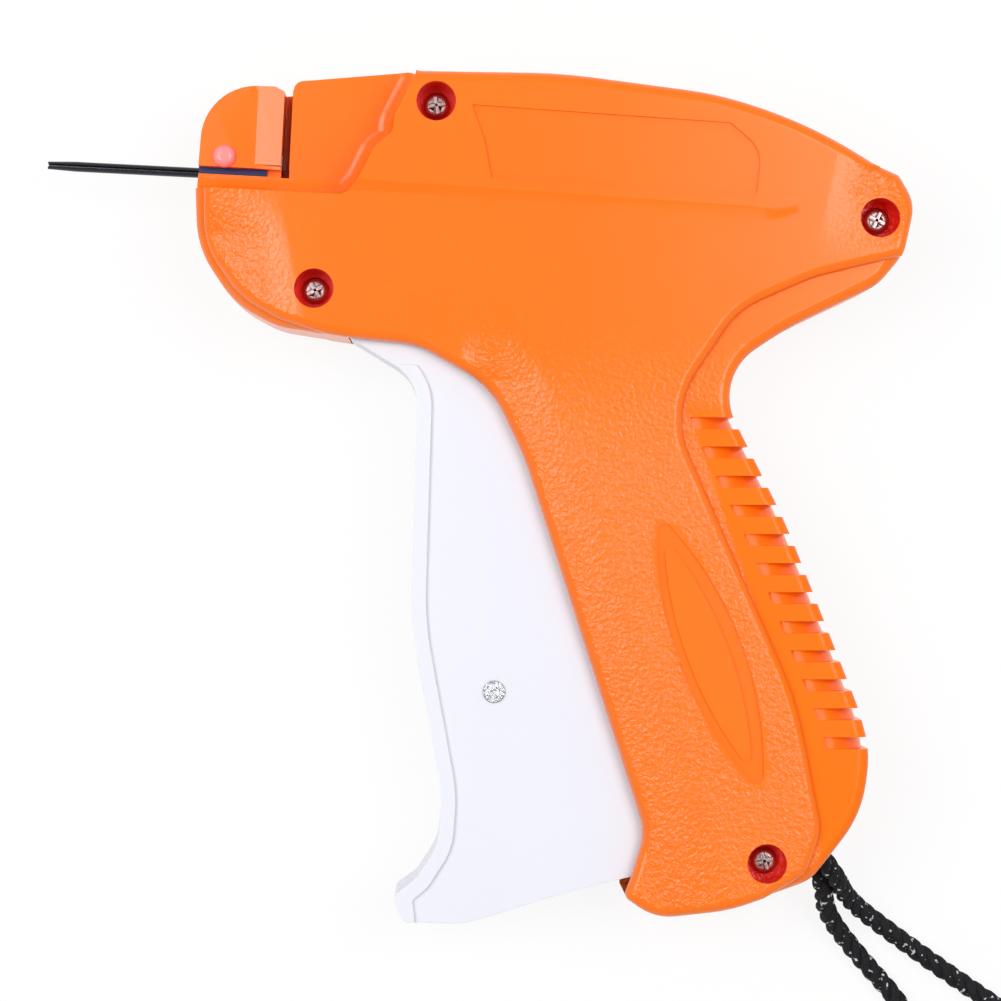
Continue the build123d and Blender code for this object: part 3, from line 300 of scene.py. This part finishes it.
def shell_plastic(settings):
    """Moulded plastic: a pebbled grain, bolder where the flat sides fall off to their edges."""
    material, nodes, links, surface = new_material("Orange shell plastic")
    where = node_of(nodes, "ShaderNodeTexCoord")
    place = where.outputs["Object"]
    falls = []
    for point, toward, side_point, side_toward, end_point, end_toward in (
        ((27.0, -22.0), (-0.925, -0.38), (20.0, -10.0), (0.0, -1.0), (10.0, 0.0), (1.0, 0.0)),
        ((-19.0, 0.0), (-1.0, -0.25), (-19.0, 12.0), (0.0, -1.0), (0.0, 0.0), (-1.0, 0.0)),
        ((69.5, 9.0), (1.0, -0.15), (69.5, 1.0), (-0.2, 1.0), (60.0, 0.0), (1.0, 0.0)),
    ):
        past = beyond_line(nodes, links, place, point, toward)
        past = maths(nodes, links, "MAXIMUM", maths(nodes, links, "MINIMUM", past, 12.0), 0.0)
        side = beyond_line(nodes, links, place, side_point, side_toward)
        end = beyond_line(nodes, links, place, end_point, end_toward)
        inside = maths(nodes, links, "MULTIPLY", side, 0.09, clamp=True)
        inside = maths(nodes, links, "MULTIPLY", inside, maths(nodes, links, "MULTIPLY", end, 0.16, clamp=True))
        falls.append(maths(nodes, links, "MULTIPLY", past, inside))
    fall = maths(nodes, links, "MAXIMUM", maths(nodes, links, "MAXIMUM", falls[0], falls[1]), falls[2])
    drop = maths(nodes, links, "MULTIPLY", maths(nodes, links, "POWER", fall, 1.5), -settings.crown)
    ramp = beyond_line(nodes, links, place, (-26.0, 0.0), (1.0, 0.0))
    ramp = maths(nodes, links, "MAXIMUM", maths(nodes, links, "MINIMUM", ramp, 4.7), 0.0)
    above = maths(nodes, links, "MULTIPLY", beyond_line(nodes, links, place, (0, 13.5), (0, 1)), 4.0, clamp=True)
    before = maths(nodes, links, "MULTIPLY", beyond_line(nodes, links, place, (-20.6, 0), (-1, 0)), 9.0, clamp=True)
    above = maths(nodes, links, "MULTIPLY", above, before)
    drop = maths(nodes, links, "SUBTRACT", drop,
                 maths(nodes, links, "MULTIPLY", maths(nodes, links, "MULTIPLY", ramp, above), 0.17))
    crown = node_of(nodes, "ShaderNodeBump")
    crown.inputs["Distance"].default_value = MM
    links.new(drop, crown.inputs["Height"])
    facing = node_of(nodes, "ShaderNodeSeparateXYZ")
    links.new(where.outputs["Normal"], facing.inputs[0])
    flatness = maths(nodes, links, "ABSOLUTE", facing.outputs["Z"])
    grained = node_of(nodes, "ShaderNodeMapRange")
    grained.inputs["From Min"].default_value = 0.90
    grained.inputs["From Max"].default_value = 0.985
    grained.inputs["To Min"].default_value = 0.03
    grained.inputs["To Max"].default_value = settings.grain_strength
    links.new(flatness, grained.inputs["Value"])
    bold = maths(nodes, links, "MULTIPLY", maths(nodes, links, "MULTIPLY", fall, 0.18, clamp=True), 1.1)
    handle = beyond_line(nodes, links, place, (0.0, -12.0), (0.0, -1.0))
    handle = maths(nodes, links, "MULTIPLY", handle, 0.04, clamp=True)
    bold = maths(nodes, links, "ADD", maths(nodes, links, "MAXIMUM", bold, handle), 0.05)
    roll = maths(nodes, links, "MAXIMUM", beyond_line(nodes, links, place, (54.9, -42.3), (0.931, 0.365)),
                 beyond_line(nodes, links, place, (73.0, -94.0), (0.97, 0.2)))
    roll = maths(nodes, links, "MULTIPLY", maths(nodes, links, "SUBTRACT", roll, 0.6), 1.4, clamp=True)
    lower = maths(nodes, links, "MULTIPLY", beyond_line(nodes, links, place, (0, -22), (0, -1)), 0.3, clamp=True)
    roll = maths(nodes, links, "MULTIPLY", roll, lower)
    along = maths(nodes, links, "DIVIDE", beyond_line(nodes, links, place, (54.4, -64.7), (0.3955, -0.9184)), 23.5)
    across = maths(nodes, links, "DIVIDE", beyond_line(nodes, links, place, (54.4, -64.7), (0.9184, 0.3955)), 5.2)
    oval = maths(nodes, links, "ADD", maths(nodes, links, "MULTIPLY", along, along),
                 maths(nodes, links, "MULTIPLY", across, across))
    plain = maths(nodes, links, "MULTIPLY", maths(nodes, links, "SUBTRACT", oval, 0.9), 4.0, clamp=True)
    plain = maths(nodes, links, "MULTIPLY", plain, maths(nodes, links, "SUBTRACT", 1.0, roll))
    strength = maths(nodes, links, "MULTIPLY", grained.outputs[0], bold, clamp=True)
    strength = maths(nodes, links, "MULTIPLY", strength, maths(nodes, links, "MAXIMUM", plain, 0.04))
    sheen = maths(nodes, links, "SUBTRACT", 0.5, maths(nodes, links, "MULTIPLY", roll, 0.3))
    links.new(sheen, surface.inputs["Specular IOR Level"])
    pebbles = node_of(nodes, "ShaderNodeTexNoise")
    pebbles.inputs["Scale"].default_value = 1.0 / settings.grain_size
    pebbles.inputs["Detail"].default_value = 2.5
    pebbles.inputs["Roughness"].default_value = 0.5
    pebbles.inputs["Distortion"].default_value = 0.3
    links.new(place, pebbles.inputs["Vector"])
    grain = node_of(nodes, "ShaderNodeBump")
    grain.inputs["Distance"].default_value = settings.grain_depth
    links.new(strength, grain.inputs["Strength"])
    links.new(pebbles.outputs["Fac"], grain.inputs["Height"])
    links.new(crown.outputs[0], grain.inputs["Normal"])
    links.new(grain.outputs[0], surface.inputs["Normal"])
    shade = node_of(nodes, "ShaderNodeTexNoise")
    shade.inputs["Scale"].default_value = 45.0
    shade.inputs["Detail"].default_value = 2.0
    links.new(place, shade.inputs["Vector"])
    colour = node_of(nodes, "ShaderNodeMix", data_type="RGBA")
    links.new(shade.outputs["Fac"], colour.inputs["Factor"])
    base = settings.colour
    colour.inputs[6].default_value = (base[0], base[1] * 0.94, base[2] * 0.8, 1)
    colour.inputs[7].default_value = (base[0], base[1] * 1.06, base[2] * 1.2, 1)
    near = None
    for x, y in SCREW_PLACES:
        spread = node_of(nodes, "ShaderNodeVectorMath")
        spread.operation = "MULTIPLY_ADD"
        links.new(place, spread.inputs[0])
        spread.inputs[1].default_value = (1000, 1000, 0)
        spread.inputs[2].default_value = (-x, -y, 0)
        away = node_of(nodes, "ShaderNodeVectorMath")
        away.operation = "LENGTH"
        links.new(spread.outputs[0], away.inputs[0])
        near = maths(nodes, links, "MINIMUM", near, away.outputs["Value"]) if near else away.outputs["Value"]
    # Painted shade: deep in the screw wells the base colour turns red, standing in for light bounced between the well
    # walls
    depth = node_of(nodes, "ShaderNodeSeparateXYZ")
    links.new(place, depth.inputs[0])
    sunk = maths(nodes, links, "MULTIPLY", maths(nodes, links, "SUBTRACT", WELL_TOP, depth.outputs["Z"]), 900.0,
                 clamp=True)
    within = maths(nodes, links, "MULTIPLY", maths(nodes, links, "SUBTRACT", 3.45, near), 8.0, clamp=True)
    well_shade_mix = node_of(nodes, "ShaderNodeMix", data_type="RGBA")
    links.new(maths(nodes, links, "MULTIPLY", sunk, within), well_shade_mix.inputs["Factor"])
    links.new(colour.outputs[2], well_shade_mix.inputs[6])
    well_shade_mix.inputs[7].default_value = settings.painted_well_shade_colour
    links.new(well_shade_mix.outputs[2], surface.inputs["Base Color"])
    rough = node_of(nodes, "ShaderNodeMapRange")
    rough.inputs["To Min"].default_value = settings.roughness - 0.04
    rough.inputs["To Max"].default_value = settings.roughness + 0.06
    links.new(pebbles.outputs["Fac"], rough.inputs["Value"])
    links.new(rough.outputs[0], surface.inputs["Roughness"])
    return material


def plain_plastic(name, colour, roughness=0.4, mottle=0.04, subsurface=0.0):
    """Moulded plastic with faint flow marks and a fine bump."""
    material, nodes, links, surface = new_material(name)
    where = node_of(nodes, "ShaderNodeTexCoord")
    flow = node_of(nodes, "ShaderNodeTexNoise")
    flow.inputs["Scale"].default_value = 60.0
    flow.inputs["Detail"].default_value = 3.0
    links.new(where.outputs["Object"], flow.inputs["Vector"])
    tint = node_of(nodes, "ShaderNodeMix", data_type="RGBA")
    tint.inputs[6].default_value = tuple(c * (1 - mottle) for c in colour[:3]) + (1,)
    tint.inputs[7].default_value = tuple(min(1.0, c * (1 + mottle)) for c in colour[:3]) + (1,)
    links.new(flow.outputs["Fac"], tint.inputs["Factor"])
    links.new(tint.outputs[2], surface.inputs["Base Color"])
    fine = node_of(nodes, "ShaderNodeTexNoise")
    fine.inputs["Scale"].default_value = 900.0
    links.new(where.outputs["Object"], fine.inputs["Vector"])
    bump = node_of(nodes, "ShaderNodeBump")
    bump.inputs["Distance"].default_value = mm(0.012)
    bump.inputs["Strength"].default_value = 0.4
    links.new(fine.outputs["Fac"], bump.inputs["Height"])
    links.new(bump.outputs[0], surface.inputs["Normal"])
    surface.inputs["Roughness"].default_value = roughness
    if subsurface:
        surface.inputs["Subsurface Weight"].default_value = subsurface
        surface.inputs["Subsurface Radius"].default_value = (1.0, 0.9, 0.8)
        surface.inputs["Subsurface Scale"].default_value = mm(1.5)
    return material


def metal(name, colour, roughness, grain=(1400.0, 90.0, 90.0), depth=0.004):
    """Worked metal with fine marks drawn along one way."""
    material, nodes, links, surface = new_material(name)
    where = node_of(nodes, "ShaderNodeTexCoord")
    turn = node_of(nodes, "ShaderNodeMapping")
    turn.inputs["Scale"].default_value = grain
    links.new(where.outputs["Object"], turn.inputs["Vector"])
    marks = node_of(nodes, "ShaderNodeTexNoise")
    marks.inputs["Scale"].default_value = 1.0
    marks.inputs["Detail"].default_value = 4.0
    links.new(turn.outputs[0], marks.inputs["Vector"])
    dull = node_of(nodes, "ShaderNodeMapRange")
    dull.inputs["To Min"].default_value = roughness * 0.75
    dull.inputs["To Max"].default_value = roughness * 1.3
    links.new(marks.outputs["Fac"], dull.inputs["Value"])
    links.new(dull.outputs[0], surface.inputs["Roughness"])
    bump = node_of(nodes, "ShaderNodeBump")
    bump.inputs["Distance"].default_value = mm(depth)
    links.new(marks.outputs["Fac"], bump.inputs["Height"])
    links.new(bump.outputs[0], surface.inputs["Normal"])
    surface.inputs["Base Color"].default_value = colour
    surface.inputs["Metallic"].default_value = 1.0
    return material


# ---------------------------------------------------------------- pieces


class TAGTOOL_OT_shells(Operator):
    """Dress both halves of the shell"""

    bl_idname = "tagtool.shells"
    bl_label = "Shells"

    def execute(self, context):
        settings = context.scene.tagtool_shell
        plastic = shell_plastic(settings)
        for node, name in (("left_housing", "left_shell"), ("right_housing", "right_shell")):
            piece = moulding(node, name, settings.edge_width)
            finish_with(piece, plastic)
        piece = moulding("needle_lock_lever", "needle_lock_lever_moulding", mm(0.2))
        finish_with(piece, plastic)
        piece = moulding("needle_lock_shaft", "needle_lock_pin", mm(0.2))
        # The lock pin's pink is a painted highlight of its domed end's reflection
        finish_with(piece, plain_plastic("Lock pin plastic with painted pink highlight", (1.0, 0.30, 0.30, 1), 0.2, 0.03))
        return {"FINISHED"}


class TAGTOOL_OT_trigger(Operator):
    """Dress the trigger"""

    bl_idname = "tagtool.trigger"
    bl_label = "Trigger"

    def execute(self, context):
        settings = context.scene.tagtool_trigger
        piece = moulding("trigger", "trigger_moulding", settings.edge_width)
        finish_with(piece, plain_plastic("Trigger plastic", settings.colour, 0.38, 0.01, 0.1))
        return {"FINISHED"}


def pan_head(name, settings):
    """One cross-head screw, standing on the origin with its shank below."""
    bpy.ops.object.select_all(action="DESELECT")
    bpy.ops.mesh.primitive_cylinder_add(vertices=48, radius=settings.head_radius, depth=settings.head_height,
                                        location=(0, 0, settings.head_height / 2))
    head = added(name)
    in_place(head)
    bpy.ops.object.mode_set(mode="EDIT")
    bpy.ops.mesh.select_all(action="DESELECT")
    select_faces(head, lambda face: face.normal.z > 0.9)
    bpy.ops.mesh.bevel(offset=settings.head_height * 0.62, segments=6, affect="EDGES", profile=0.5)
    bpy.ops.mesh.select_all(action="DESELECT")
    select_faces(head, lambda face: face.normal.z < -0.9)
    bpy.ops.mesh.inset(thickness=settings.head_radius - settings.shank_radius)
    bpy.ops.mesh.extrude_region_move(TRANSFORM_OT_translate={"value": (0, 0, -settings.shank_length)})
    bpy.ops.mesh.bevel(offset=settings.shank_radius * 0.4, segments=1, affect="EDGES")
    bpy.ops.object.mode_set(mode="OBJECT")
    bpy.ops.object.select_all(action="DESELECT")
    cutters = []
    for turn in (0.0, pi / 2):
        bpy.ops.mesh.primitive_cube_add(size=1.0, location=(0, 0, settings.head_height * 0.72),
                                        rotation=(0, 0, turn),
                                        scale=(settings.cross_length, settings.cross_width, settings.head_height * 1.3))
        cutter = added("cross_cutter")
        in_place(cutter)
        bpy.ops.object.mode_set(mode="EDIT")
        bpy.ops.mesh.select_all(action="DESELECT")
        select_faces(cutter, lambda face: face.normal.z < -0.9)
        bpy.ops.transform.resize(value=(0.45, 0.45, 1.0))
        bpy.ops.mesh.select_all(action="SELECT")
        bpy.ops.object.mode_set(mode="OBJECT")
        rounded_edges(cutter, settings.cross_width * 0.28, segments=2, angle=50.0)
        cutters.append(cutter)
    for cutter in cutters:
        cut = head.modifiers.new("Cross recess", "BOOLEAN")
        cut.operation = "DIFFERENCE"
        cut.solver = "FAST"
        cut.object = cutter
    apply_modifiers(head)
    for cutter in cutters:
        bpy.data.objects.remove(cutter)
    rounded_edges(head, mm(0.05), segments=2, angle=38.0)
    smooth_shaded(head, 38.0)
    return head


class TAGTOOL_OT_screws(Operator):
    """Make one cross-head screw and set its copies in the four wells"""

    bl_idname = "tagtool.screws"
    bl_label = "Screws"

    def execute(self, context):
        settings = context.scene.tagtool_screw
        # The grey is the plate's own tone; its reddish cast is a painted reflection of the red screw wells
        zinc_with_painted_reflection = metal("Zinc plate with painted red reflection", (0.52, 0.42, 0.41, 1), 0.3, grain=(700.0, 700.0, 700.0), depth=0.02)
        first = pan_head("screw_1", settings)
        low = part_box("housing_screws")
        seat = low[1][2] - settings.head_height
        pieces = [first]
        for number in range(1, len(SCREW_PLACES)):
            piece = first.copy()
            piece.data = first.data.copy()
            piece.name = "screw_%d" % (number + 1)
            bpy.context.collection.objects.link(piece)
            pieces.append(piece)
        for piece, (x, y), turn in zip(pieces, SCREW_PLACES, SCREW_TURNS):
            piece.location = (mm(x), mm(y), seat)
            piece.rotation_euler = (0, 0, radians(turn))
            in_place(piece)
            finish_with(piece, zinc_with_painted_reflection)
            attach(piece, "housing")
            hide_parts("housing_screws")
        return {"FINISHED"}


class TAGTOOL_OT_metalwork(Operator):
    """Give the needle, pins and other metal pieces their finish"""

    bl_idname = "tagtool.metalwork"
    bl_label = "Metalwork"

    def execute(self, context):
        steel = metal("Browned steel", (0.075, 0.075, 0.085, 1), 0.26, grain=(90.0, 1600.0, 1600.0), depth=0.01)
        drawn = metal("Drawn steel", (0.56, 0.57, 0.60, 1), 0.32, grain=(900.0, 900.0, 60.0))
        peened = metal("Peened steel", (0.50, 0.50, 0.53, 1), 0.24, grain=(1300.0, 1300.0, 1300.0), depth=0.4)
        wire = metal("Spring wire", (0.36, 0.36, 0.38, 1), 0.3, grain=(900.0, 900.0, 900.0))
        slots = {"needle_steel": steel, "pin_steel": drawn, "spring_steel": wire}
        for part in frame["record"]["subparts"]:
            if part["material_slot"] in slots:
                finish_with(NODES[part["node"]], slots[part["material_slot"]])
        finish_with(NODES["trigger_rivet"], peened)
        return {"FINISHED"}


class TAGTOOL_OT_inner_mouldings(Operator):
    """Give the needle's hub and the inner mouldings their finish"""

    bl_idname = "tagtool.inner_mouldings"
    bl_label = "Inner mouldings"

    def execute(self, context):
        navy = plain_plastic("Hub plastic", (0.006, 0.006, 0.09, 1), 0.3)
        inner = plain_plastic("Acetal", (0.74, 0.75, 0.77, 1), 0.45, 0.02, 0.1)
        for part in frame["record"]["subparts"]:
            if part["material_slot"] == "hub_plastic":
                finish_with(NODES[part["node"]], navy)
            if part["material_slot"] == "inner_plastic":
                finish_with(NODES[part["node"]], inner)
        return {"FINISHED"}


STRAP_ROUTE = [
    (72.9, -95.2, 14.5),
    (78.2, -101.1, 14.5),
    (81.3, -106.2, 5.5),
    (89.5, -111.9, 1.75),
    (103.0, -120.5, 1.7),
    (121.0, -131.0, 1.7),
    (141.0, -147.0, 1.7),
    (146.0, -166.0, 1.7),
    (133.0, -176.5, 1.7),
    (116.0, -168.0, 1.7),
    (105.0, -146.0, 1.7),
    (94.0, -126.0, 1.7),
    (83.0, -115.0, 1.75),
    (77.6, -108.3, 5.0),
    (76.9, -103.2, 10.5),
    (72.9, -95.2, 10.5),
]


def strap_line():
    """The strap's middle line: points of a smooth spline whose control points are the route's."""
    data = bpy.data.curves.new("strap_route", "CURVE")
    data.dimensions = "3D"
    data.resolution_u = 24
    spline = data.splines.new("NURBS")
    spline.points.add(len(STRAP_ROUTE) - 1)
    for point, place in zip(spline.points, STRAP_ROUTE):
        point.co = (*mm(*place), 1.0)
    spline.order_u = 3
    spline.use_endpoint_u = True
    line = bpy.data.objects.new("strap_route", data)
    bpy.context.collection.objects.link(line)
    mesh = bpy.data.meshes.new_from_object(line)
    points = [vertex.co.copy() for vertex in mesh.vertices]
    bpy.data.objects.remove(line)
    return points


def strand(name, line, settings, turn):
    """One strand winding round the strap's middle line."""
    data = bpy.data.curves.new(name, "CURVE")
    data.dimensions = "3D"
    spline = data.splines.new("POLY")
    spline.points.add(len(line) - 1)
    reach = settings.diameter / 2 - settings.strand_radius
    side = Vector((0, 0, 1))
    gone = 0.0
    for number, point in enumerate(line):
        ahead = line[min(number + 1, len(line) - 1)] - line[max(number - 1, 0)]
        along = ahead.normalized()
        side = (side - along * side.dot(along)).normalized()
        across = along.cross(side)
        if number:
            gone += (point - line[number - 1]).length
        angle = 2 * pi * gone / settings.pitch + turn
        place = point + (side * cos(angle) + across * sin(angle)) * reach
        spline.points[number].co = (*place, 1.0)
    data.bevel_depth = settings.strand_radius
    data.bevel_resolution = 4
    data.use_fill_caps = True
    curve = bpy.data.objects.new(name, data)
    bpy.context.collection.objects.link(curve)
    choose(curve)
    bpy.ops.object.convert(target="MESH")
    return bpy.context.object


def strap_nylon(settings):
    """Black braided yarn with a few pale flecks."""
    material, nodes, links, surface = new_material("Strap nylon")
    where = node_of(nodes, "ShaderNodeTexCoord")
    yarns = node_of(nodes, "ShaderNodeTexVoronoi")
    yarns.inputs["Scale"].default_value = 1500.0
    links.new(where.outputs["Object"], yarns.inputs["Vector"])
    bump = node_of(nodes, "ShaderNodeBump")
    bump.inputs["Distance"].default_value = mm(0.16)
    links.new(yarns.outputs["Distance"], bump.inputs["Height"])
    links.new(bump.outputs[0], surface.inputs["Normal"])
    flecks = node_of(nodes, "ShaderNodeTexNoise")
    flecks.inputs["Scale"].default_value = 1100.0
    flecks.inputs["Detail"].default_value = 1.0
    links.new(where.outputs["Object"], flecks.inputs["Vector"])
    seen = node_of(nodes, "ShaderNodeMapRange")
    seen.inputs["From Min"].default_value = 0.66
    seen.inputs["From Max"].default_value = 0.71
    links.new(flecks.outputs["Fac"], seen.inputs["Value"])
    tint = node_of(nodes, "ShaderNodeMix", data_type="RGBA")
    links.new(seen.outputs[0], tint.inputs["Factor"])
    tint.inputs[6].default_value = settings.colour
    tint.inputs[7].default_value = (0.55, 0.55, 0.57, 1)
    links.new(tint.outputs[2], surface.inputs["Base Color"])
    surface.inputs["Roughness"].default_value = 0.7
    surface.inputs["Specular IOR Level"].default_value = 0.2
    return material


class TAGTOOL_OT_strap(Operator):
    """Lay the wrist strap out on the table"""

    bl_idname = "tagtool.strap"
    bl_label = "Wrist strap"

    def execute(self, context):
        leave_edit_mode()
        settings = context.scene.tagtool_strap
        line = strap_line()
        strands = [strand("strand_%d" % number, line, settings, 2 * pi / 3 * number) for number in (0, 1, 2)]
        bpy.ops.object.select_all(action="DESELECT")
        for one in strands:
            one.select_set(True)
        bpy.context.view_layer.objects.active = strands[0]
        bpy.ops.object.join()
        cord = bpy.context.object
        cord.name = "strap_cord"
        bpy.ops.object.shade_smooth()
        cord.data.materials.clear()
        cord.data.materials.append(strap_nylon(settings))
        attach(cord, "housing")
        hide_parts("wrist_strap")
        [tuple(point) for point in line]
        return {"FINISHED"}


def pale_table():
    """A diffuse table that the camera sees as nearly white, with the shadow still on it."""
    material, nodes, links, surface = new_material("Pale table")
    surface.inputs["Base Color"].default_value = (0.93, 0.93, 0.93, 1)
    surface.inputs["Roughness"].default_value = 0.8
    surface.inputs["Specular IOR Level"].default_value = 0.1
    rays = node_of(nodes, "ShaderNodeLightPath")
    seen = maths(nodes, links, "MAXIMUM", rays.outputs["Is Camera Ray"], rays.outputs["Is Glossy Ray"])
    seen = maths(nodes, links, "MAXIMUM", seen, rays.outputs["Is Transmission Ray"])
    bright = node_of(nodes, "ShaderNodeEmission")
    bright.inputs["Color"].default_value = (1, 1, 1, 1)
    bright.inputs["Strength"].default_value = 1.0
    mix = node_of(nodes, "ShaderNodeMixShader")
    links.new(maths(nodes, links, "MULTIPLY", seen, 0.88), mix.inputs[0])
    links.new(surface.outputs[0], mix.inputs[1])
    links.new(bright.outputs[0], mix.inputs[2])
    links.new(mix.outputs[0], nodes["Material Output"].inputs["Surface"])
    return material


def tent_light(scene):
    """A white light tent with a dark opening overhead."""
    world = bpy.data.worlds.new("Light tent")
    scene.world = world
    world.use_nodes = True
    nodes, links = world.node_tree.nodes, world.node_tree.links
    background = nodes["Background"]
    where = node_of(nodes, "ShaderNodeTexCoord")
    direction = node_of(nodes, "ShaderNodeSeparateXYZ")
    links.new(where.outputs["Generated"], direction.inputs[0])
    opening = node_of(nodes, "ShaderNodeMapRange", interpolation_type="SMOOTHSTEP")
    opening.inputs["From Min"].default_value = cos(radians(24.0))
    opening.inputs["From Max"].default_value = cos(radians(9.0))
    opening.inputs["To Min"].default_value = 1.0
    opening.inputs["To Max"].default_value = 0.06
    links.new(direction.outputs["Z"], opening.inputs["Value"])
    background.inputs["Color"].default_value = (1, 1, 1, 1)
    low = node_of(nodes, "ShaderNodeMapRange", interpolation_type="SMOOTHSTEP")
    low.inputs["From Min"].default_value = cos(radians(50.0))
    low.inputs["From Max"].default_value = cos(radians(62.0))
    low.inputs["To Min"].default_value = 0.36
    low.inputs["To Max"].default_value = 0.5
    links.new(direction.outputs["Z"], low.inputs["Value"])
    links.new(maths(nodes, links, "MULTIPLY", opening.outputs[0], low.outputs[0]), background.inputs["Strength"])


class TAGTOOL_OT_stage(Operator):
    """Set up the pale table, the soft lights and the camera"""

    bl_idname = "tagtool.stage"
    bl_label = "Stage"

    def execute(self, context):
        leave_edit_mode()
        bpy.ops.object.select_all(action="DESELECT")
        bpy.ops.mesh.primitive_plane_add(size=6.0, location=(0, 0, mm(-0.05)))
        floor = added("table_top")
        in_place(floor)
        floor.data.materials.append(pale_table())
        tent_light(context.scene)
        for name, place, size, power in (
            ("Left softbox", (-0.46, 0.06, 0.92), 0.56, 5.4),
            ("Right softbox", (0.44, 0.12, 0.92), 0.52, 4.2),
        ):
            bpy.ops.object.light_add(type="AREA", location=place)
            lamp = bpy.context.object
            lamp.name = name
            lamp.data.shape = "SQUARE"
            lamp.data.size = size
            lamp.data.energy = power
            aim = Vector((0.02, -0.04, 0.01)) - Vector(place)
            lamp.rotation_euler = aim.to_track_quat("-Z", "Y").to_euler()
        bpy.ops.object.camera_add(location=(0.010, -0.0463, 0.613), rotation=(0, 0, radians(2.9)))
        camera = bpy.context.object
        camera.data.angle = radians(16.14)
        camera.data.shift_x = 0.05045
        camera.data.shift_y = 0.02947
        context.scene.camera = camera
        context.scene.view_settings.view_transform = "Standard"
        return {"FINISHED"}


class TAGTOOL_PT_panel(Panel):
    """Lists what builds the tag attacher"""

    bl_idname = "TAGTOOL_PT_panel"
    bl_label = "Tag Attacher"
    bl_space_type = "VIEW_3D"
    bl_region_type = "UI"
    bl_category = "Tag Attacher"

    def draw(self, context):
        for group in SETTINGS:
            settings = getattr(context.scene, group)
            box = self.layout.box()
            for key in type(settings).__annotations__:
                box.prop(settings, key)
        for piece in PIECES:
            self.layout.operator(piece.bl_idname)


SETTINGS = {
    "tagtool_shell": ShellSettings,
    "tagtool_trigger": TriggerSettings,
    "tagtool_screw": ScrewSettings,
    "tagtool_strap": StrapSettings,
}
PIECES = (
    TAGTOOL_OT_shells,
    TAGTOOL_OT_trigger,
    TAGTOOL_OT_screws,
    TAGTOOL_OT_metalwork,
    TAGTOOL_OT_inner_mouldings,
    TAGTOOL_OT_strap,
    TAGTOOL_OT_stage,
)


def register():
    for group, settings in SETTINGS.items():
        bpy.utils.register_class(settings)
        setattr(bpy.types.Scene, group, PointerProperty(type=settings))
    for piece in PIECES:
        bpy.utils.register_class(piece)
    bpy.utils.register_class(TAGTOOL_PT_panel)


def unregister():
    bpy.utils.unregister_class(TAGTOOL_PT_panel)
    for piece in reversed(PIECES):
        bpy.utils.unregister_class(piece)
    for group, settings in SETTINGS.items():
        delattr(bpy.types.Scene, group)
        bpy.utils.unregister_class(settings)


def main():
    register()
    bpy.ops.tagtool.shells()
    bpy.ops.tagtool.trigger()
    bpy.ops.tagtool.screws()
    bpy.ops.tagtool.metalwork()
    bpy.ops.tagtool.inner_mouldings()
    bpy.ops.tagtool.strap()
    bpy.ops.tagtool.stage()


if __name__ == "__main__":
    main()
